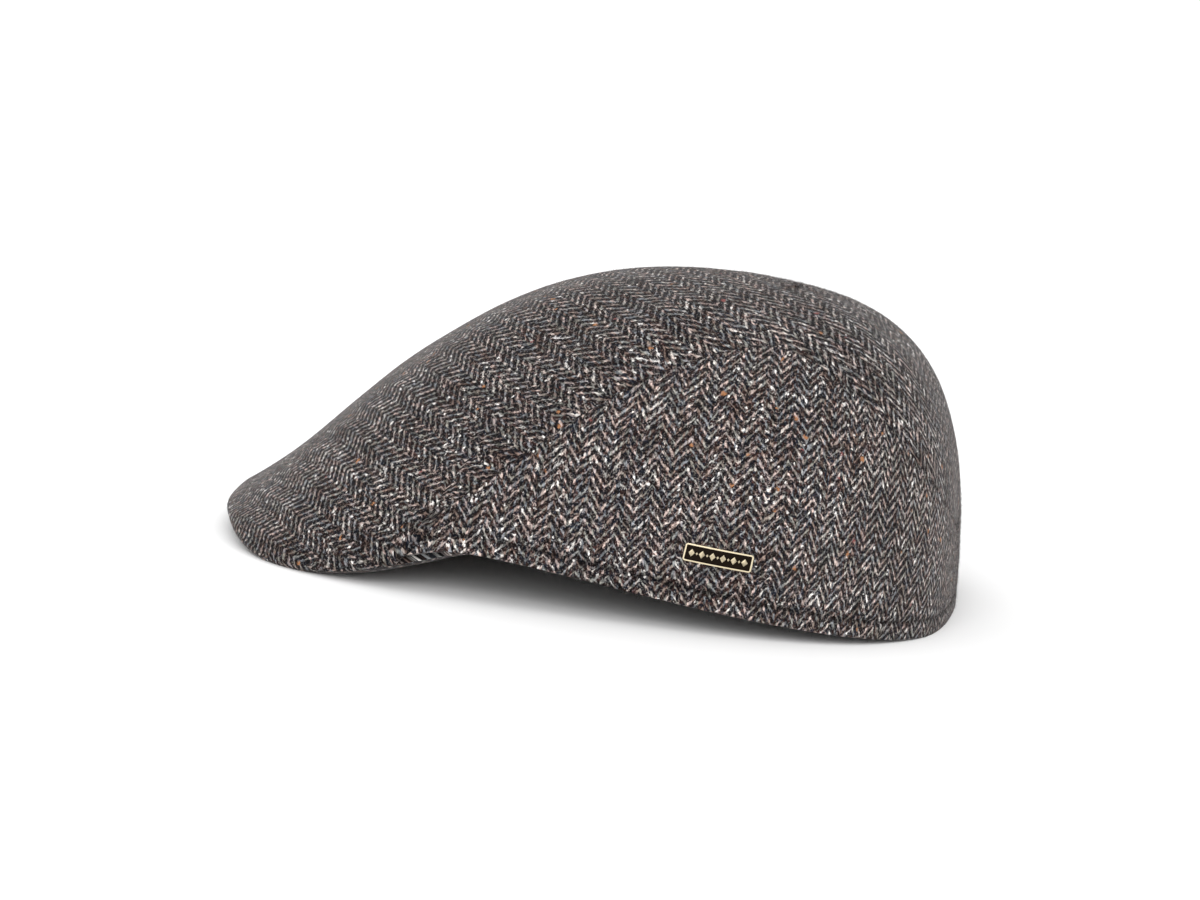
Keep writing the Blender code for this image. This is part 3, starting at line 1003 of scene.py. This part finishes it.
class CAP_OT_top_panel(bpy.types.Operator):
    """Make the top panel, cut on the bias"""

    bl_idname = "cap.top_panel"
    bl_label = "Top panel"

    def execute(self, context):
        skin = top_panel_points()
        outward = outward_of(skin, True)
        points = skin + outward * soft_waves(skin, WAVE_DEPTH, WAVE_SEED)[..., None]
        points[:, -1] = points[0, -1]
        way_back = points[..., 1]
        inside = from_edge(points)
        # Painted shade: the cloth painted darker all over, less so beside the seam, and darker in a line
        # along the seam
        painted_light_near_seam = pressed_line(inside, SEAM_PAINTED_LIGHT_WIDTH, SEAM_PAINTED_LIGHT) * ease(way_back, *SEAM_PAINTED_LIGHT_START)
        shade = TOP_PAINTED_SHADE + painted_light_near_seam - pressed_line(inside, SEAM_LINE, SEAM_PAINTED_SHADE)
        left = (1.0, blend(FRONT_LENGTH_LEFT, 1.0, ease(way_back, *FRONT_SHRUNK)))
        panel, pattern = cloth_sheet(
            "top_panel_tweed", points, bias_direction, shade, left, TURN_ROWS, TURN_ROWS, closed=True
        )
        thicken(panel, CLOTH, 0.0, evenly(TURNED_SHARE, 1, TURN_ROWS), points.shape[1] - 1)
        add_nap(panel, pattern, TOP_NAP, TOP_NAP_SEED)
        map_weave(panel, pattern)
        press_flat(panel)
        finish = tweed("tweed_top", context.scene.cap_cloth, TOP_CUT_FROM)
        place_piece(panel, finish, "top_panel")
        return {"FINISHED"}


def side_panel_points():
    """The left side panel's points, from the rim up, and the height over the rim of those near it."""
    bearings, _ = seam_line()
    bearings = bearings[TOP_COLUMNS_CORNER:]
    t = evenly(0, 1, SIDE_COLUMNS)
    bearing_top = np.interp(t, np.linspace(0, 1, len(bearings)), bearings)
    top = seam_share(bearing_top)
    foot = blend(CORNER_BEARING, 180.0, t)
    low = np.array(HEM_ROWS)[None] / (3 * wall_rise(foot))[:, None]
    high = blend(low[:, -1:], top[:, None], evenly(0, 1, SIDE_ROWS)[None, 1:])
    share = np.concatenate([low, high], axis=1)
    bearing = blend(foot[:, None], bearing_top[:, None], share / top[:, None])
    height = np.concatenate([np.broadcast_to(HEM_ROWS, low.shape), np.full(high.shape, np.inf)], axis=1)
    return skin_point(bearing, share), height


class CAP_OT_side_panels(bpy.types.Operator):
    """Make the left and right side panels with their stitched hems"""

    bl_idname = "cap.side_panels"
    bl_label = "Side panels"

    def execute(self, context):
        skin, height = side_panel_points()
        skin[-1, :, 0] = 0.0
        outward = outward_of(skin, False)
        outward[-1, :, 0] = 0.0
        finish = tweed("tweed_side", context.scene.cap_cloth, SIDE_CUT_FROM)
        for name, side, seed in SIDES:
            points = skin * (side, 1, 1)
            out = outward * (side, 1, 1)
            groove = pressed_line(height - HEM_HEIGHT, GROOVE_WIDTH, GROOVE_DEPTH)
            points = points + out * (soft_waves(points, WAVE_DEPTH, WAVE_SEED) - groove)[..., None]
            # Painted shade in the hem's groove and along the seam at the panel's upper edge
            shade = 1 - pressed_line(height - HEM_HEIGHT, 1.5 * GROOVE_WIDTH, GROOVE_PAINTED_SHADE)
            shade = shade - pressed_line(from_edge(points, last=True), SEAM_LINE, SEAM_PAINTED_SHADE)
            if side < 0:
                points = points[::-1]
                shade = shade[::-1]
            left = (blend(1.0, BACK_WIDTH_LEFT, ease(points[..., 1], *BACK_SHRUNK)), 1.0)
            piece = f"{name}_tweed"
            panel, pattern = cloth_sheet(piece, points, upward_direction, shade, left, len(HEM_ROWS))
            folds = np.ones(HEM_FOLD_ROWS)
            thicken(panel, HEM_THICKNESS, SIDE_ROUNDING, folds, points.shape[1], CLOTH / HEM_THICKNESS)
            add_nap(panel, pattern, SIDE_NAP, seed)
            map_weave(panel, pattern)
            press_flat(panel)
            place_piece(panel, finish, name)
        return {"FINISHED"}


def edge_outward(bearing):
    """The level direction straight out from the lower edge."""
    along = edge_point(bearing + EDGE_TURN) - edge_point(bearing - EDGE_TURN)
    return unit(np.stack([along[..., 1], -along[..., 0], np.zeros_like(along[..., 0])], axis=-1))


def peak_points():
    """Upper side of the peak from its outer edge in to the opening."""
    bearing = evenly(-PEAK_TAIL_BEARING, PEAK_TAIL_BEARING, PEAK_COLUMNS)
    side = np.abs(bearing)
    lean = np.radians(section["lean"](side))
    tucked = ease(side, CORNER_BEARING - PEAK_TUCK, CORNER_BEARING + PEAK_TUCK / 3)
    raised = ease(side, CORNER_BEARING, PEAK_TAIL_BEARING)
    behind_hem = HEM_THICKNESS / np.cos(lean) + PEAK_THICKNESS * np.tan(lean) + 2 * SEAM_GAP
    under_skin = CLOTH * np.sin(lean) + SEAM_GAP / 2
    edge = edge_point(bearing)
    outer = edge + edge_outward(bearing) * blend(PEAK_LIP, -behind_hem, tucked)[:, None]
    outer[:, 2] = edge[:, 2] + blend(-under_skin, PEAK_THICKNESS, raised)
    inner = toward(bearing) * (opening_radius(bearing) - PEAK_SEAT)[:, None]
    inner[:, 2] = PEAK_THICKNESS
    way_in = (inner - outer) * (1, 1, 0)
    length = np.linalg.norm(way_in, axis=1)
    ledge = outer + unit(way_in) * blend(PEAK_LEDGE, length * TUCKED_LEDGE, tucked)[:, None]
    t = evenly(0, 1, PEAK_ROWS)[None, :, None]
    main = ledge[:, None] + (inner - ledge)[:, None] * t
    lip = outer[:, None] + (ledge - outer)[:, None] * evenly(0, 1, PEAK_LIP_ROWS)[None, :-1, None]
    return np.concatenate([lip, main], axis=1)


class CAP_OT_peak(bpy.types.Operator):
    """Make the peak, a stiff board covered in the same cloth"""

    bl_idname = "cap.peak"
    bl_label = "Peak"

    def execute(self, context):
        points = peak_points()
        points[..., 2] += soft_waves(points, PEAK_WAVE_DEPTH, PEAK_WAVE_SEED)
        # The peak's cloth painted darker all over, as painted shade
        shade = np.full(points.shape[:2], PEAK_PAINTED_SHADE)
        peak, pattern = cloth_sheet("peak_tweed", points, backward_direction, shade)
        upright = np.sign(pattern["outward"][:, 2:])
        pattern["outward"] = pattern["outward"] * np.where(upright == 0, 1, upright)
        thicken(peak, PEAK_THICKNESS, PEAK_ROUNDING)
        map_weave(peak, pattern)
        press_flat(peak)
        finish = tweed("tweed_peak", context.scene.cap_cloth, PEAK_CUT_FROM)
        place_piece(peak, finish, "peak")
        return {"FINISHED"}


def flat_plate(badge):
    """The plate lying flat, its field sunk inside a raised border, and each point's relief from 0 to 1."""
    bm = bmesh.new()
    relief = bm.verts.layers.float.new("relief")
    size = Matrix.Diagonal((badge.length, badge.height, badge.thickness, 1))
    bmesh.ops.create_cube(bm, size=1, matrix=Matrix.Translation((0, 0, badge.thickness / 2)) @ size)
    upright = [e for e in bm.edges if abs(e.verts[0].co.z - e.verts[1].co.z) > badge.thickness / 2]
    bmesh.ops.bevel(bm, geom=upright, offset=BADGE_CORNER, segments=5, profile=0.5, affect="EDGES")
    face = max(bm.faces, key=lambda f: f.calc_center_median().z)
    bmesh.ops.bevel(bm, geom=list(face.edges), offset=BADGE_EDGE, segments=3, profile=0.6, affect="EDGES")
    face = max(bm.faces, key=lambda f: (round(f.calc_center_median().z, 7), f.calc_area()))
    for width in (BADGE_BORDER, BADGE_BORDER_WALL):
        bmesh.ops.inset_region(bm, faces=[face], thickness=width)
    bmesh.ops.translate(bm, verts=face.verts, vec=(0, 0, -BADGE_RECESS))
    for vert in bm.verts:
        vert[relief] = 1.0
    for vert in face.verts:
        vert[relief] = 0.0
    return bm, relief


def add_lozenge(bm, relief, x, base, half_width, half_height):
    """A low pyramid with a flat top, standing on the plate's field."""
    rings = []
    for share, rise, rubbed in LOZENGE_RINGS:
        corners = ((half_width, 0), (0, half_height), (-half_width, 0), (0, -half_height))
        ring = [bm.verts.new((x + cx * share, cy * share, base + rise)) for cx, cy in corners]
        for vert in ring:
            vert[relief] = rubbed
        rings.append(ring)
    for low, high in zip(rings, rings[1:]):
        for i in range(4):
            bm.faces.new((low[i], low[(i + 1) % 4], high[(i + 1) % 4], high[i]))
    bm.faces.new(rings[-1])
    bm.faces.new(rings[0][::-1])


def add_lozenges(bm, relief, badge):
    field = badge.thickness - BADGE_RECESS
    pitch = (badge.length - LOZENGE_ROW_MARGIN) / LOZENGES
    for i in range(LOZENGES):
        x = (i - (LOZENGES - 1) / 2) * pitch
        size = 1.0 if i % 2 == 0 else SMALL_LOZENGE
        add_lozenge(bm, relief, x, field, pitch * LOZENGE_WIDTH * size, badge.height * LOZENGE_HEIGHT * size)


def bend_round_cap(bm, badge):
    """Cuts the flat plate across often enough to bend, and lays it on the side panel."""
    for x in evenly(-badge.length / 2, badge.length / 2, BADGE_CUTS)[1:-1]:
        everything = bm.verts[:] + bm.edges[:] + bm.faces[:]
        bmesh.ops.bisect_plane(bm, geom=everything, plane_co=(x, 0, 0), plane_no=(1, 0, 0))
    middle = skin_point(badge.bearing, BADGE_SHARE)
    radius = math.hypot(middle[0], middle[1])
    slope = math.tan(math.radians(badge.slope))
    for vert in bm.verts:
        bearing = np.array(badge.bearing + math.degrees(vert.co.x / radius))
        share = share_at_height(bearing, badge.rise + vert.co.y - vert.co.x * slope)
        outward = skin_outward(bearing, share)
        vert.co = Vector(skin_point(bearing, share) + outward * (BADGE_LIFT + vert.co.z))


class CAP_OT_badge(bpy.types.Operator):
    """Make the small plate with its raised border and its row of lozenges"""

    bl_idname = "cap.badge"
    bl_label = "Badge"

    def execute(self, context):
        badge = context.scene.cap_badge
        bm, relief = flat_plate(badge)
        add_lozenges(bm, relief, badge)
        bend_round_cap(bm, badge)
        bmesh.ops.recalc_face_normals(bm, faces=bm.faces[:])
        mesh = bpy.data.meshes.new("badge_plate")
        bm.to_mesh(mesh)
        bm.free()
        plate = linked("badge_plate", mesh)
        place_piece(plate, brass("antique_brass", badge), "badge")
        plate.data.shade_flat()
        return {"FINISHED"}


def lay_floor(colour):
    bpy.ops.mesh.primitive_plane_add(size=FLOOR_SIZE)
    floor = bpy.context.object
    floor.name = "floor"
    floor.data.materials.append(plain("floor_paper", colour, FLOOR_ROUGHNESS))


def light_all_round(scene, strength):
    world = bpy.data.worlds.new("studio")
    world.use_nodes = True
    background = world.node_tree.nodes["Background"]
    background.inputs["Color"].default_value = (1, 1, 1, 1)
    background.inputs["Strength"].default_value = strength
    scene.world = world


def hang_lamps(scene, power):
    for name, place, size, share in LAMPS:
        lamp = bpy.data.lights.new(name, "AREA")
        lamp.size = size
        lamp.energy = power * share
        light = bpy.data.objects.new(name, lamp)
        light.location = place
        light.rotation_euler = (Vector(LAMPS_AIM) - Vector(place)).to_track_quat("-Z", "Y").to_euler()
        scene.collection.objects.link(light)


def set_up_camera(scene, distance):
    """A camera at a distance from the middle of the opening, looking a little past it."""
    e, yaw, roll = (math.radians(angle) for angle in (CAMERA_ELEVATION, CAMERA_YAW, CAMERA_ROLL))
    back = Vector((math.cos(e) * math.cos(yaw), math.cos(e) * math.sin(yaw), math.sin(e)))
    right = Vector((-math.sin(yaw), math.cos(yaw), 0))
    up = back.cross(right)
    rolled_right = right * math.cos(roll) + up * math.sin(roll)
    rolled_up = up * math.cos(roll) - right * math.sin(roll)
    eye = back * distance
    aim = -rolled_right * OFF_MIDDLE[0] * PIXEL_SIZE + rolled_up * OFF_MIDDLE[1] * PIXEL_SIZE
    toward_eye = (eye - aim).normalized()
    x_axis = rolled_up.cross(toward_eye).normalized()
    y_axis = toward_eye.cross(x_axis)
    axes = Matrix((x_axis, y_axis, toward_eye)).transposed()
    data = bpy.data.cameras.new("camera")
    data.sensor_width = SENSOR_WIDTH
    data.lens = SENSOR_WIDTH * (eye - aim).length / (FRAME_WIDTH * PIXEL_SIZE)
    data.clip_end = FAR_END
    camera = bpy.data.objects.new("camera", data)
    camera.matrix_world = own_to_world() @ Matrix.Translation(eye) @ axes.to_4x4()
    scene.collection.objects.link(camera)
    scene.camera = camera


class CAP_OT_stage(bpy.types.Operator):
    """Lay the floor, light the cap and set up the camera"""

    bl_idname = "cap.stage"
    bl_label = "Floor, light and camera"

    def execute(self, context):
        stage = context.scene.cap_stage
        context.scene.view_settings.view_transform = "Standard"
        lay_floor(stage.floor_colour)
        light_all_round(context.scene, stage.sky)
        hang_lamps(context.scene, stage.key)
        set_up_camera(context.scene, stage.distance)
        return {"FINISHED"}


class CAP_PT_panel(bpy.types.Panel):
    """The cap's pieces, in the 3D view's sidebar"""

    bl_idname = "CAP_PT_panel"
    bl_label = "Flat cap"
    bl_space_type = "VIEW_3D"
    bl_region_type = "UI"
    bl_category = "Flat cap"

    def draw(self, context):
        for settings in (context.scene.cap_cloth, context.scene.cap_badge, context.scene.cap_stage):
            box = self.layout.box()
            for key in settings.__annotations__:
                box.prop(settings, key)
        for operator in OPERATORS:
            self.layout.operator(operator.bl_idname)


GROUPS = {"cap_cloth": ClothSettings, "cap_badge": BadgeSettings, "cap_stage": StageSettings}
OPERATORS = (CAP_OT_top_panel, CAP_OT_side_panels, CAP_OT_peak, CAP_OT_badge, CAP_OT_stage)
CLASSES = (*GROUPS.values(), *OPERATORS, CAP_PT_panel)


def register():
    for kind in CLASSES:
        bpy.utils.register_class(kind)
    for name, group in GROUPS.items():
        setattr(bpy.types.Scene, name, PointerProperty(type=group))


def unregister():
    for name in GROUPS:
        delattr(bpy.types.Scene, name)
    for kind in reversed(CLASSES):
        bpy.utils.unregister_class(kind)


def main():
    register()
    bpy.ops.cap.top_panel()
    bpy.ops.cap.side_panels()
    bpy.ops.cap.peak()
    bpy.ops.cap.badge()
    bpy.ops.cap.stage()
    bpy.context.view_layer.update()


if __name__ == "__main__":
    main()
